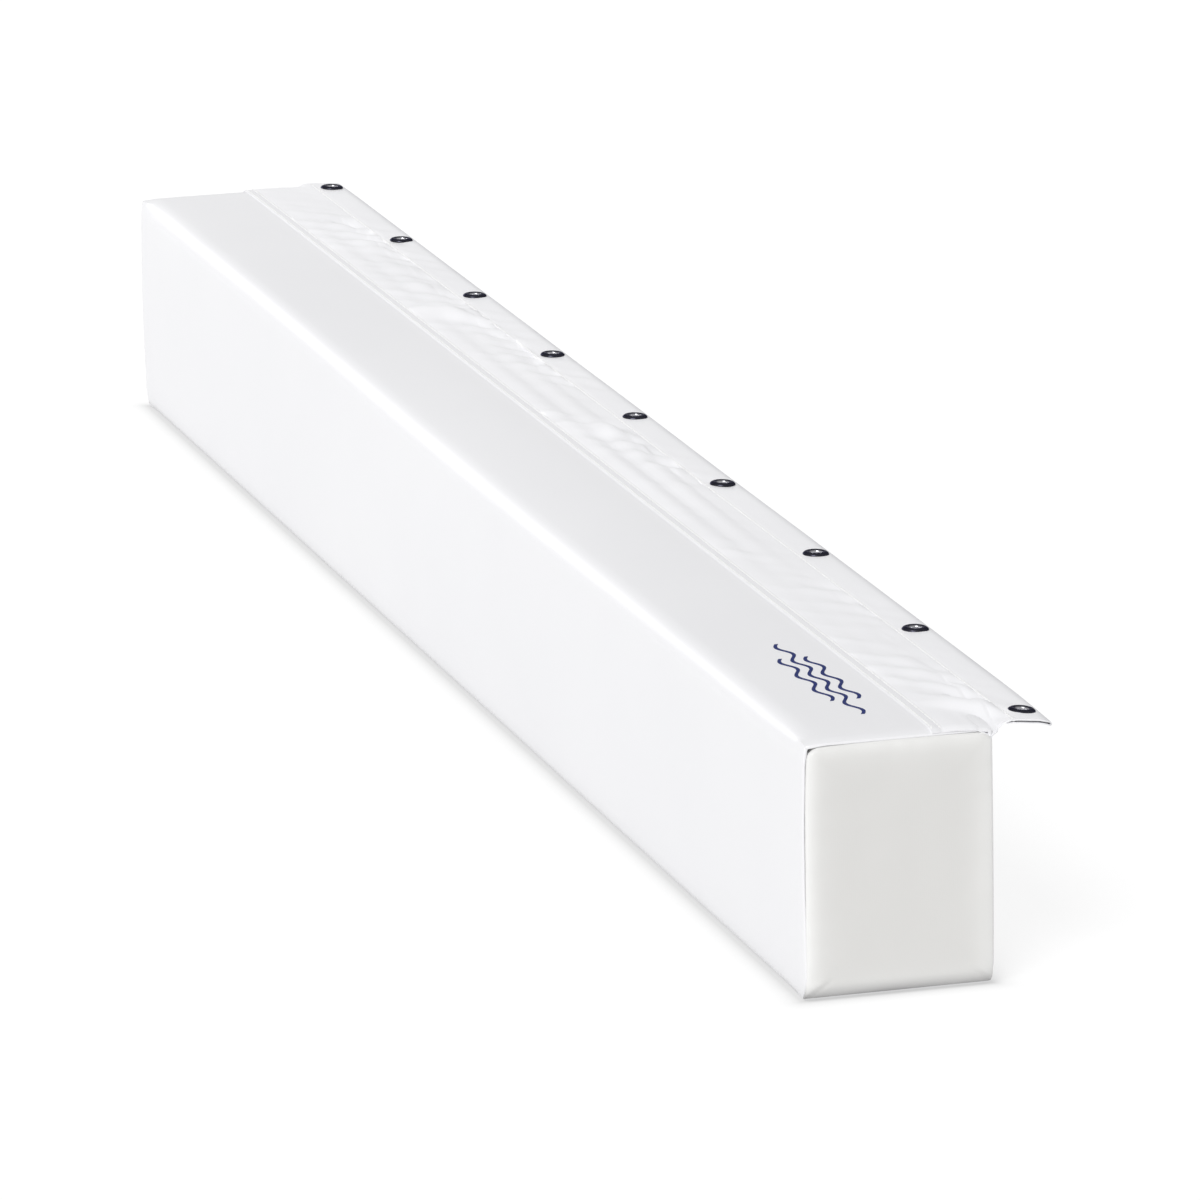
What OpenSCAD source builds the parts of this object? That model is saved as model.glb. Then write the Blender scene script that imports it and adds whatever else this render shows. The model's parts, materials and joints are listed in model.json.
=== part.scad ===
// Dock bumper: a foam block in a sewn vinyl cover, with a hemmed mounting flap
// along its top back edge. Length runs along X, the flap points to +Y, and the
// block stands on Z = 0. Millimetres.

/* [Body] */
// Length of the covered block
body_length = 1830; // [900:10:2400]
// Width of the block, from the boat side to the dock side
body_width = 130; // [90:1:220]
// Height of the block, without the strip that lies on top
body_height = 175; // [110:1:260]
// Radius of the four long edges
edge_radius = 9; // [5:0.5:20]

/* [Cover] */
// Thickness of the vinyl-coated fabric
vinyl = 1; // [0.7:0.1:1.5]
// Clearance between pieces that fit inside one another
fit_gap = 0.2; // [0.1:0.05:0.4]
// How far each end panel sits back from the end of the cover
end_recess = 3; // [1:0.5:6]
// Depth of the seam allowance that each end panel turns inwards
end_allowance = 10; // [6:1:18]

/* [Top seam] */
// Distance from the back face to the middle of the double seam
seam_inset = 38; // [25:1:60]
// Distance between the two rows of the double seam
seam_rows = 5.5; // [4:0.5:8]
// Width of the strip's edge beyond the inner row
seam_margin = 3; // [2:0.5:5]

/* [Flap] */
// How far the flap reaches beyond the back face
flap_width = 40; // [32:1:60]
// How much shorter the flap is than the cover, at each end
flap_end_inset = 2; // [1:0.5:10]
// Distance from the flap's folded outer edge to the hem stitching
hem_width = 26; // [25:0.5:28]
// Width of the turned-under edge beyond the hem stitching
hem_margin = 4; // [2:0.5:5]
// Width of the reinforcing webbing inside the hem
webbing_width = 25; // [20:0.5:26]
// Thickness of the reinforcing webbing
webbing = 1.2; // [0.8:0.1:2]
// Space between the folded-down flap and the back face
fold_clearance = 0.6; // [0.4:0.1:2]
// Half the width of the crease between the top strip and the flap
crease_gap = 0.15; // [0.1:0.05:0.3]

/* [Grommets] */
// Number of grommets along the flap
grommet_count = 9; // [3:1:11]
// Distance from the flap's outer edge to the grommets' centres
grommet_inset = 13; // [11:0.5:14]
// Distance from each end of the cover to the nearest grommet's centre
grommet_end = 25; // [15:1:60]
// Diameter of the clear hole
bore_d = 8; // [6:0.5:10]
// Wall of the grommet's barrel
barrel_wall = 1; // [0.6:0.1:1.5]
// Diameter of the rolled flange and of the washer
flange_d = 18.5; // [16:0.5:21]
// Height of the rolled flange above the vinyl
flange_height = 1.8; // [1.2:0.1:2.5]
// Thickness of the washer
washer_height = 1; // [0.6:0.1:1.5]
// How far the barrel's end curls over the washer
curl_width = 1.5; // [0.8:0.1:2]
// Thickness of the curled end
curl_height = 0.6; // [0.4:0.1:0.8]

/* [Stitching] */
// Width of a line of thread
thread_width = 0.9; // [0.6:0.1:1.4]
// Height of a line of thread above the vinyl
thread_height = 0.4; // [0.2:0.1:0.6]
// Distance from the ends of a row of stitching to the end of its sheet
thread_end = 4; // [2:0.5:10]

/* [Print] */
// Length of the printed waves
print_length = 190; // [100:5:220]
// Distance from the right end of the cover to the print
print_end = 52; // [40:1:120]
// Distance from the front face to the middle of the print
print_inset = 58; // [40:1:60]
// Distance between the lines of the print
print_pitch = 9; // [6:0.5:10]
// Width of each printed line
print_line = 2.6; // [1.5:0.1:3]
// Height of each wave above its middle line
print_amplitude = 3; // [2:0.1:4]
// Number of waves along the longest line
print_waves = 5; // [4:1:9]
// Thickness of the printed film
print_film = 0.2; // [0.1:0.05:0.3]

/* [Hidden] */
$fn = 64;
// A sliver that cutting shapes run past the faces they cut
past = 1;

grommets = [1:grommet_count];

// Places across the width: the origin is at the middle of block and flap together
front_y = -(body_width + flap_width) / 2;
back_y = front_y + body_width;
flap_edge_y = back_y + flap_width;
seam_y = back_y - seam_inset;
hem_y = flap_edge_y - hem_width;
grommet_y = flap_edge_y - grommet_inset;

// The strip lies on the block, and the flap carries on from it at the same level
strip_top = body_height + vinyl;
flap_stack = 2 * vinyl + webbing;
flap_bottom = strip_top - flap_stack;
// The flap folds about the crease, at the level of the strip's upper face
crease_y = back_y + flap_stack + fold_clearance;

flap_length = body_length - 2 * flap_end_inset;
grommet_pitch = (body_length - 2 * grommet_end) / (grommet_count - 1);
barrel_r = bore_d / 2 + barrel_wall;
grommet_hole_r = barrel_r + fit_gap / 2;

// Clear sizes inside the cover, each one fitting inside the one before
wrap_inside = vinyl;
panel_outside = wrap_inside + fit_gap;
panel_inside = panel_outside + vinyl;
thread_outside = panel_inside + fit_gap;
thread_inside = thread_outside + thread_height;
nose_outside = thread_inside + fit_gap;

panel_x = body_length / 2 - end_recess;
rim_x = panel_x - end_allowance;
foam_x = rim_x - fit_gap;
nose_x = panel_x - vinyl - fit_gap;

function grommet_x(i) = -body_length / 2 + grommet_end + (i - 1) * grommet_pitch;

// A rounded rectangle as large as the block's section less an inset all round
module section(inset) {
    width = body_width - 2 * inset;
    height = body_height - 2 * inset;
    radius = edge_radius - inset;
    translate([front_y + inset, inset]) {
        translate([radius, 0]) square([width - 2 * radius, height]);
        translate([0, radius]) square([width, height - 2 * radius]);
        for (y = [radius, width - radius], z = [radius, height - radius])
            translate([y, z]) circle(radius);
    }
}

// Sweeps a Y-Z outline along X between two places
module along_x(from, to) {
    translate([from, 0, 0]) rotate([90, 0, 90]) linear_extrude(to - from) children();
}

// One half of the foam, narrowed at both ends where the end seams take up room
module foam_plank(low, high) {
    color("gainsboro") intersection() {
        union() {
            along_x(-foam_x, foam_x) section(panel_outside);
            along_x(-nose_x, nose_x) section(nose_outside);
        }
        translate([-body_length / 2, front_y, low]) cube([body_length, body_width, high - low]);
    }
}

// Front, bottom, back and top of the cover, in one piece
module cover_wrap() {
    color("white") difference() {
        along_x(-body_length / 2, body_length / 2) section(0);
        along_x(-body_length / 2 - past, body_length / 2 + past) section(wrap_inside);
    }
}

// A pan-shaped end panel; its rim is the seam allowance, turned inwards
module end_panel() {
    color("whitesmoke") difference() {
        along_x(rim_x, panel_x) section(panel_outside);
        along_x(rim_x - past, panel_x - vinyl) section(panel_inside);
    }
}

// The ring of thread that holds an end panel's seam allowance
module end_thread() {
    middle = rim_x + end_allowance / 2;
    color("white") difference() {
        along_x(middle - thread_width / 2, middle + thread_width / 2) section(thread_outside);
        along_x(middle - thread_width, middle + thread_width) section(thread_inside);
    }
}

module at_right_end() children();
module at_left_end() mirror([1, 0, 0]) children();

// The strip from the double seam to the crease, bevelled to leave room for the fold
module top_strip() {
    inner_y = seam_y - seam_rows / 2 - seam_margin;
    outer_y = crease_y - crease_gap;
    color("white") along_x(-body_length / 2, body_length / 2)
        polygon([
            [inner_y, body_height], [outer_y - vinyl, body_height],
            [outer_y, strip_top], [inner_y, strip_top]
        ]);
}

// A line of thread that lies on a sheet, with its underside at the given height
module thread_line(y, z, length) {
    color("white") translate([-length / 2 + thread_end, y - thread_width / 2, z])
        cube([length - 2 * thread_end, thread_width, thread_height]);
}

module seam_thread(side) {
    thread_line(seam_y + side * seam_rows / 2, strip_top, body_length);
}

// The flap's outline in section: an upper leaf, a rounded outer fold and a turned-under leaf
module flap_outline() {
    fold_y = flap_edge_y - flap_stack / 2;
    inner_y = crease_y + crease_gap;
    turned_y = hem_y - hem_margin;
    polygon([
        [inner_y + vinyl, strip_top - vinyl], [fold_y, strip_top - vinyl],
        [fold_y, strip_top], [inner_y, strip_top]
    ]);
    translate([turned_y, flap_bottom]) square([fold_y - turned_y, vinyl]);
    intersection() {
        translate([fold_y, flap_bottom + flap_stack / 2]) difference() {
            circle(flap_stack / 2);
            circle(webbing / 2);
        }
        translate([fold_y, flap_bottom]) square([flap_stack, flap_stack]);
    }
}

module grommet_holes() {
    for (i = grommets) translate([grommet_x(i), grommet_y, flap_bottom - past])
        cylinder(r = grommet_hole_r, h = flap_stack + 2 * past);
}

module flap_sheet() {
    color("white") difference() {
        along_x(-flap_length / 2, flap_length / 2) flap_outline();
        grommet_holes();
    }
}

// Webbing in the hem, with its outer edge in the fold
module hem_webbing() {
    outer_y = flap_edge_y - flap_stack / 2;
    color("ivory") difference() {
        translate([-flap_length / 2, outer_y - webbing_width, flap_bottom + vinyl])
            cube([flap_length, webbing_width, webbing]);
        grommet_holes();
    }
}

// The hem stitching, seen as one line on each side of the flap
module hem_thread() {
    thread_line(hem_y, strip_top, flap_length);
    thread_line(hem_y, flap_bottom - thread_height, flap_length);
}

// A domed flange, a barrel through the hem and a curl that grips the washer
module grommet(i) {
    bore_r = bore_d / 2;
    dome_chord = flange_d / 2 - bore_r;
    dome_r = (dome_chord ^ 2 / 4 + flange_height ^ 2) / (2 * flange_height);
    curl_z = -flap_stack - washer_height - curl_height;
    color("dimgray") translate([grommet_x(i), grommet_y, strip_top]) rotate_extrude() {
        intersection() {
            translate([bore_r + dome_chord / 2, flange_height - dome_r]) circle(dome_r);
            translate([bore_r, 0]) square([dome_chord, flange_height]);
        }
        translate([bore_r, curl_z]) square([barrel_wall, -curl_z]);
        translate([bore_r, curl_z])
            square([barrel_wall + curl_width - curl_height / 2, curl_height]);
        translate([barrel_r + curl_width - curl_height / 2, curl_z + curl_height / 2])
            circle(curl_height / 2);
    }
}

// A flat washer with a rounded rim, on the underside of the hem
module grommet_washer(i) {
    rim_r = washer_height / 2;
    washer_r = flange_d / 2 - rim_r;
    color("dimgray") translate([grommet_x(i), grommet_y, flap_bottom - washer_height])
        rotate_extrude() {
            translate([grommet_hole_r, 0]) square([washer_r - grommet_hole_r, washer_height]);
            translate([washer_r, rim_r]) circle(rim_r);
        }
}

// One printed wave line, centred on the origin
module wave_line(length) {
    period = print_length / print_waves;
    steps = ceil(length / period) * 12;
    spine = [for (k = [0:steps]) [
        -length / 2 + k * length / steps,
        print_amplitude * sin(360 * (k * length / steps - length / 2) / period)
    ]];
    above = [for (p = spine) [p.x, p.y + print_line / 2]];
    below = [for (k = [steps:-1:0]) [spine[k].x, spine[k].y - print_line / 2]];
    polygon(concat(above, below));
}

// Three plain wave lines, the middle one the longest
module wave_print() {
    middle_x = body_length / 2 - print_end - print_length / 2;
    color("navy") translate([middle_x, front_y + print_inset, body_height])
        linear_extrude(print_film) for (row = [-1:1])
            translate([0, row * print_pitch])
                wave_line(print_length * (1 - abs(row) * 2 / print_waves));
}

foam_plank(0, body_height / 2);  // foam_plank_lower
foam_plank(body_height / 2, body_height);  // foam_plank_upper
cover_wrap();
at_left_end() end_panel();  // end_panel_left
at_right_end() end_panel();  // end_panel_right
at_left_end() end_thread();  // end_thread_left
at_right_end() end_thread();  // end_thread_right
top_strip();
seam_thread(-1);  // seam_thread_inner
seam_thread(1);  // seam_thread_outer
flap_sheet();
hem_webbing();
hem_thread();
wave_print();
for (i = grommets) {
    grommet(i);
    grommet_washer(i);
}
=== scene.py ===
import json
import math
import bpy
import numpy as np
from mathutils import Matrix, Vector, noise
from mathutils.bvhtree import BVHTree


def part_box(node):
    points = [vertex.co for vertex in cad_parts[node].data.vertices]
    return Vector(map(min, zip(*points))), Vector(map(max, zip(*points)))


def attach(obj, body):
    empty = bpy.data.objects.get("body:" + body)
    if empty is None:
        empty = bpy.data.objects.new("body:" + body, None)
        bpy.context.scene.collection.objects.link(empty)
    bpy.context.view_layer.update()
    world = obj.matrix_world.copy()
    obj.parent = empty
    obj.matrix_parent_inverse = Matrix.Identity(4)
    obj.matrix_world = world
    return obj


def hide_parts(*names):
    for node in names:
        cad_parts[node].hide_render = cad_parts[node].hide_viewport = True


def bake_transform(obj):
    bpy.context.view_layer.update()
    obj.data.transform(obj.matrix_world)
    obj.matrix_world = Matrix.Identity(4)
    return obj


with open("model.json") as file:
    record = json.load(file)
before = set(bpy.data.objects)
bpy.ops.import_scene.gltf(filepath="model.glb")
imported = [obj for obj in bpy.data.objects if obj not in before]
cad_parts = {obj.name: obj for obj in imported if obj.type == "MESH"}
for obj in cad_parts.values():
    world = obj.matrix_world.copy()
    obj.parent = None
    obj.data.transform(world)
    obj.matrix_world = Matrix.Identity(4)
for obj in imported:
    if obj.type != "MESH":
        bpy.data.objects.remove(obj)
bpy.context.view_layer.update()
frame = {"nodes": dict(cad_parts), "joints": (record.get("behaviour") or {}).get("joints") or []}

mm = 0.001
doubled = 0.01 * mm       # points closer than this are one point


# places from the frame

def boxMiddle(node):
    low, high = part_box(node)
    return (low + high) / 2


coverLow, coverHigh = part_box("cover_wrap")
flapLow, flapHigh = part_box("flap_sheet")
webLow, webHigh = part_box("hem_webbing")
printLow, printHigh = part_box("wave_print")
frontY, backY, endX, topZ = coverLow.y, coverHigh.y, coverHigh.x, coverHigh.z
middleY, middleZ = (frontY + backY) / 2, topZ / 2
width = backY - frontY
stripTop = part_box("top_strip")[1].z
vinyl = stripTop - topZ
flapStack = flapHigh.z - flapLow.z
crease = Vector(frame["joints"][0]["pos_m"])
innerRowY = boxMiddle("seam_thread_inner").y
outerRowY = boxMiddle("seam_thread_outer").y
hemRowY = boxMiddle("hem_thread").y
grommetCount = sum(1 for name in frame["nodes"] if name.startswith("grommet_washer_"))
grommetSpots = [boxMiddle(f"grommet_{i + 1}") for i in range(grommetCount)]
grommetY = grommetSpots[0].y


# modelling helpers

def deselectAll():
    bpy.ops.object.select_all(action="DESELECT")


def pickUp(obj):
    deselectAll()
    obj.select_set(True)
    bpy.context.view_layer.objects.active = obj


def objectMode():
    bpy.ops.object.mode_set(mode="OBJECT")


def editMode():
    bpy.ops.object.mode_set(mode="EDIT")


def readPoints(obj):
    points = np.empty(len(obj.data.vertices) * 3)
    obj.data.vertices.foreach_get("co", points)
    return points.reshape(-1, 3)


def writePoints(obj, points):
    flat = np.ascontiguousarray(points, dtype=np.float32).ravel()
    obj.data.vertices.foreach_set("co", flat)
    obj.data.update()


vertexMode = (True, False, False)
edgeMode = (False, True, False)
faceMode = (False, False, True)


def chooseNone(mode):
    # deselects the whole mesh, before vertices, edges or faces are chosen
    objectMode()
    editMode()
    bpy.context.tool_settings.mesh_select_mode = mode
    bpy.ops.mesh.select_all(action="DESELECT")
    objectMode()


def chooseVerts(obj, test):
    # leaves edit mode on, with only the vertices that pass the test selected
    chooseNone(vertexMode)
    obj.data.vertices.foreach_set("select", test(readPoints(obj)))
    editMode()


def chooseEdges(obj, test):
    # the same for edges, each given by its two ends
    chooseNone(edgeMode)
    points = readPoints(obj)
    ends = np.empty(len(obj.data.edges) * 2, dtype=np.int64)
    obj.data.edges.foreach_get("vertices", ends)
    ends = ends.reshape(-1, 2)
    obj.data.edges.foreach_set("select", test(points[ends[:, 0]], points[ends[:, 1]]))
    editMode()


def chooseFaces(obj, test):
    # the same for faces, each given by its centre and normal
    chooseNone(faceMode)
    centres = np.array([face.center for face in obj.data.polygons])
    normals = np.array([face.normal for face in obj.data.polygons])
    obj.data.polygons.foreach_set("select", test(centres, normals))
    editMode()


def cleanUp(obj):
    # closes doubled points and turns every face outwards
    pickUp(obj)
    editMode()
    bpy.ops.mesh.select_all(action="SELECT")
    bpy.ops.mesh.remove_doubles(threshold=doubled)
    bpy.ops.mesh.normals_make_consistent(inside=False)
    objectMode()


def faceTowards(obj, place, direction):
    # turns a sheet over if its face nearest to a place looks the wrong way
    nearest = min(obj.data.polygons, key=lambda face: (face.center - place).length)
    if nearest.normal.dot(direction) < 0:
        editMode()
        bpy.ops.mesh.select_all(action="SELECT")
        bpy.ops.mesh.flip_normals()
        objectMode()


def settle(obj, name):
    # puts the object's place into its mesh
    pickUp(obj)
    bpy.ops.object.transform_apply(location=True, rotation=True, scale=True)
    obj.name = obj.data.name = name
    return obj


def addGrid(columns, rows, size=1):
    deselectAll()
    bpy.ops.mesh.primitive_grid_add(x_subdivisions=columns, y_subdivisions=rows, size=size)
    return bpy.context.object


def joinPieces(pieces):
    deselectAll()
    for piece in pieces:
        piece.select_set(True)
    bpy.context.view_layer.objects.active = pieces[0]
    bpy.ops.object.join()
    return bpy.context.object


def applyModifiers(obj):
    pickUp(obj)
    for modifier in list(obj.modifiers):
        bpy.ops.object.modifier_apply(modifier=modifier.name)


def thicken(obj, thickness, offset):
    solidify = obj.modifiers.new("thickness", "SOLIDIFY")
    solidify.thickness, solidify.offset = thickness, offset
    applyModifiers(obj)


def smoothShade(obj, degrees=50):
    pickUp(obj)
    bpy.ops.object.shade_smooth_by_angle(angle=math.radians(degrees))


def surfaceOf(obj):
    return BVHTree.FromObject(obj, bpy.context.evaluated_depsgraph_get())


def heightAt(surface, x, y):
    # the top of a surface straight above or below a place
    place = surface.ray_cast(Vector((x, y, topZ + 0.1)), Vector((0, 0, -1)))[0]
    return place.z


def bumps(a, b, seed):
    # smooth unevenness over two coordinates, of which the second may be one number
    return np.array([noise.noise(Vector((p, q, seed))) for p, q in zip(a, np.broadcast_to(b, len(a)))])


def copyPiece(obj, name):
    copy = obj.copy()
    copy.data = obj.data.copy()
    bpy.context.collection.objects.link(copy)
    copy.name = copy.data.name = name
    return copy


def spinOutline(name, outline, steps):
    # draws an outline of (radius, height) points with single extruded vertices, and spins it round Z
    deselectAll()
    bpy.ops.mesh.primitive_plane_add(size=1)
    obj = bpy.context.object
    editMode()
    bpy.context.tool_settings.mesh_select_mode = vertexMode
    bpy.ops.mesh.select_all(action="SELECT")
    bpy.ops.mesh.merge(type="CENTER")
    bpy.ops.transform.translate(value=(outline[0][0] * mm, 0, outline[0][1] * mm))
    for before, after in zip(outline, outline[1:] + outline[:1]):
        step = ((after[0] - before[0]) * mm, 0, (after[1] - before[1]) * mm)
        bpy.ops.mesh.extrude_vertices_move(TRANSFORM_OT_translate={"value": step})
    bpy.ops.mesh.select_all(action="SELECT")
    bpy.ops.mesh.remove_doubles(threshold=doubled)
    bpy.ops.mesh.spin(steps=steps, angle=2 * math.pi, center=(0, 0, 0), axis=(0, 0, 1))
    objectMode()
    settle(obj, name)
    cleanUp(obj)
    return obj


# cloth simulation, with the chosen points held

def relaxCloth(obj, held, frames, stiffness, bending, pressure=0.0, growth=0.0):
    group = obj.vertex_groups.new(name="held")
    group.add([int(i) for i in np.nonzero(held)[0]], 1.0, "REPLACE")
    cloth = obj.modifiers.new("cloth", "CLOTH")
    settings = cloth.settings
    settings.quality = 6
    settings.mass = 0.3
    settings.tension_stiffness = settings.compression_stiffness = stiffness
    settings.shear_stiffness = stiffness / 2
    settings.bending_stiffness = bending
    settings.air_damping = 4
    settings.shrink_min = -growth
    settings.use_pressure = pressure > 0
    settings.uniform_pressure_force = pressure
    settings.effector_weights.gravity = 0
    settings.vertex_group_mass = "held"
    cloth.collision_settings.use_collision = False
    for number in range(1, frames + 1):
        bpy.context.scene.frame_set(number)
    applyModifiers(obj)
    bpy.context.scene.frame_set(1)
    obj.vertex_groups.clear()


# how the foam fills the cover

block = {
    "frontRadius": 15 * mm,   # rounding of the upper front edge
    "edgeRadius": 7 * mm,     # rounding of the other long edges
    "square": 0.75,           # how far the long edges square up at the end seams
    "squareReach": 60 * mm,
    "dip": 8 * mm,            # how far the upper front edge is pressed in around mid-length
    "dipMiddle": 0.12,        # where it is deepest, along the block
    "dipReach": 0.66,         # how far it runs from there, along the block
    "dipAcross": 0.62,        # how far over the top, as a share of the width
    "dipDown": 0.6,           # how far down the front, as a share of the height
    "dipIn": 0.45,            # how far the front moves in, as a share of the dip
    "dent": 1.3 * mm,         # an upright hollow in the front below the dip
    "dentAside": 0.05,        # how far right of the deepest place
    "dentWidth": 35 * mm,
    "frontCrown": 1.3 * mm,   # how far the front stands out between its edges
    "backCrown": 0.4 * mm,
    "endDraw": 1.3 * mm,      # how far the cover draws in at the end seams
    "endDrawReach": 20 * mm,
    "lip": 1.1 * mm,          # how far back from the end the sides start to turn in
    "lipRoll": 2.0 * mm,      # how far the top rounds down to the end seams
    "lipRollWidth": 7 * mm,
    "sillBack": 9.5 * mm,     # how far the cover's bottom edge is drawn back at the ends
    "sillHeight": 12 * mm,
    "sillReach": 30 * mm,
    "ripple": 0.55 * mm,      # long shallow waves in the vinyl
    "pucker": 0.35 * mm,      # short gathers beside the end seams
    "puckerReach": 26 * mm,
    "puckerSize": 3.7 * mm,   # their size on the front, and on the top
    "puckerSizeTop": 3.4 * mm,
    "swell": 0.9 * mm,        # the most that the foam's pressure moves the vinyl
    "rings": 240,
}


def rippleAt(a, b, seed):
    return bumps(a * 5.5, b * 13, seed) + 0.5 * bumps(a * 14, b * 26, seed + 7)


def squareCorners(x, y, z):
    # the long edges are rounded along the block and nearly square where the end panels hold them
    amount = block["square"] * np.clip(1 - (endX - np.abs(x)) / block["squareReach"], 0, 1) ** 2
    for front in (True, False):
        for upper in (True, False):
            radius = block["frontRadius"] if front and upper else block["edgeRadius"]
            centreY = frontY + radius if front else backY - radius
            centreZ = topZ - radius if upper else radius
            out = centreY - y if front else y - centreY
            rise = z - centreZ if upper else centreZ - z
            inCorner = (out > 0) & (rise > 0)
            reach = np.hypot(out, rise) / np.maximum(np.maximum(out, rise), 0.01 * mm)
            factor = np.where(inCorner, 1 + amount * (reach - 1), 1)
            y = centreY + (y - centreY) * factor
            z = centreZ + (z - centreZ) * factor
    return y, z


def fillBlock(points, fine=True):
    # moves points of the plain block to where the stuffed cover has them
    x, y, z = points.T
    y, z = squareCorners(x, y, z)
    across = np.clip((y - frontY) / width, 0, 1)
    up = np.clip(z / topZ, 0, 1)
    fromEnd = endX - np.abs(x)
    near = np.clip((x - block["dipMiddle"]) / block["dipReach"], -1, 1)
    dip = block["dip"] * (0.5 + 0.5 * np.cos(np.pi * near))
    topPart = np.clip(1 - across / block["dipAcross"], 0, 1) ** 2
    sidePart = np.clip(1 - (1 - up) / block["dipDown"], 0, 1) ** 2
    frontHalf = np.clip(1 - across * 2, 0, 1)
    dz = -dip * topPart * up ** 2
    dy = block["dipIn"] * dip * sidePart * frontHalf
    # crowned front and back, with the dent in the front
    bow = np.sin(np.pi * up)
    dy = dy - block["frontCrown"] * bow * frontHalf
    dy = dy + block["backCrown"] * bow * np.clip(across * 2 - 1, 0, 1)
    fromDent = (x - block["dipMiddle"] - block["dentAside"]) / block["dentWidth"]
    dy = dy + block["dent"] * bow * np.exp(-fromDent ** 2) * np.clip(1 - across * 4, 0, 1)
    # drawn in at the end seams, and rounded down to them along the top
    draw = block["endDraw"] * np.exp(-fromEnd / block["endDrawReach"])
    dy = dy - draw * (across * 2 - 1)
    dz = dz - draw * (up * 2 - 1) * (z > topZ / 2)
    lip = np.clip(1 - fromEnd / block["lipRollWidth"], 0, 1) ** 2
    dz = dz - block["lipRoll"] * lip * np.clip(up * 10 - 9, 0, 1)
    if fine:
        # waves and gathers on the front and on the bare part of the top
        onFront = np.clip(1 - across * 6, 0, 1)
        onTop = np.clip((up - 0.97) / 0.03, 0, 1) * np.clip((innerRowY - 12 * mm - y) / (20 * mm), 0, 1)
        dy = dy - block["ripple"] * rippleAt(x, z, 3) * onFront * np.sin(np.pi * up) ** 0.5
        dz = dz + block["ripple"] * 0.8 * rippleAt(x, y, 11) * onTop
        gather = block["pucker"] * np.exp(-fromEnd / block["puckerReach"])
        gather = gather * np.clip(fromEnd / (7 * mm) - 0.3, 0, 1)
        wander = rippleAt(x * 1.5, z, 19)
        dy = dy - gather * np.sin(z / block["puckerSize"] + 5 * wander) * onFront * bow ** 0.5
        dz = dz + gather * 0.7 * np.sin(y / block["puckerSizeTop"] + 5 * wander) * onTop
    sill = block["sillBack"] * np.clip(1 - z / block["sillHeight"], 0, 1)
    sill = sill * np.clip(1 - fromEnd / block["sillReach"], 0, 1)
    x = x - np.sign(x) * sill
    return np.column_stack([x, y + dy, z + dz])


def topHeight(x, y):
    # the height of the stuffed top
    return fillBlock(np.column_stack([x, y, np.full(len(x), topZ)]), fine=False)[:, 2]


# the cover's four sides, turned in at both ends to the end seams

def blockShell(name, inset, length):
    # a box with no ends, its long edges rounded, cut into rings that crowd towards the ends
    deselectAll()
    bpy.ops.mesh.primitive_cube_add(size=1, location=(0, middleY, middleZ))
    obj = bpy.context.object
    obj.scale = (length, width - 2 * inset, topZ - 2 * inset)
    settle(obj, name)
    chooseFaces(obj, lambda centre, normal: np.abs(normal[:, 0]) > 0.9)
    bpy.ops.mesh.delete(type="ONLY_FACE")
    rounding = [(block["frontRadius"], 6, lambda p: (p[:, 1] < middleY) & (p[:, 2] > middleZ)),
                (block["edgeRadius"], 4, lambda p: (p[:, 1] > middleY) | (p[:, 2] < middleZ))]
    for radius, segments, where in rounding:
        chooseEdges(obj, lambda a, b: (np.abs(a[:, 0] - b[:, 0]) > length / 2) & where(a)
                    & (np.abs(a[:, 1] - middleY) > width / 2 - inset - mm)
                    & (np.abs(a[:, 2] - middleZ) > topZ / 2 - inset - mm))
        bpy.ops.mesh.bevel(offset=radius - inset, segments=segments, affect="EDGES")
    chooseEdges(obj, lambda a, b: np.abs(a[:, 0] - b[:, 0]) > length / 2)
    bpy.ops.mesh.subdivide(number_cuts=block["rings"] - 1)
    for axis, cuts in ((1, 15), (2, 21)):
        chooseEdges(obj, lambda a, b: np.abs(a[:, axis] - b[:, axis]) > 40 * mm)
        bpy.ops.mesh.subdivide(number_cuts=cuts)
    objectMode()
    points = readPoints(obj)
    share = points[:, 0] / (length / 2)
    points[:, 0] = (share + np.sin(share * np.pi / 2)) / 2 * length / 2
    writePoints(obj, points)
    return obj


# the lip's section, as (forward, inwards) in millimetres
turnIn = [
    (0.6, 0.1), (1.0, 0.4), (1.1, 0.9), (1.0, 1.4), (0.5, 1.8), (-0.6, 2.0), (-3.0, 2.05), (-11.0, 2.05),
]


def turnInEnd(obj, side):
    # draws the open end inwards round the lip
    edge = side * (endX - block["lip"])
    chooseVerts(obj, lambda p: np.abs(p[:, 0] - edge) < 0.1 * mm)
    forwardBefore, insetBefore = 0, 0
    for forward, inset in turnIn:
        step = side * (forward - forwardBefore) * mm
        bpy.ops.mesh.extrude_edges_move(TRANSFORM_OT_translate={"value": (step, 0, 0)})
        factors = [(half - inset * mm) / (half - insetBefore * mm) for half in (width / 2, topZ / 2)]
        bpy.ops.transform.resize(value=(1, *factors), center_override=(0, middleY, middleZ))
        forwardBefore, insetBefore = forward, inset
    objectMode()


def swellGently(obj, held, limit):
    # pressure from inside, scaled so that no point moves further than the limit
    before = readPoints(obj)
    relaxCloth(obj, held, frames=14, stiffness=40, bending=2, pressure=1.5)
    move = readPoints(obj) - before
    furthest = np.linalg.norm(move, axis=1).max()
    writePoints(obj, before + move * min(1, limit / furthest))


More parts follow.
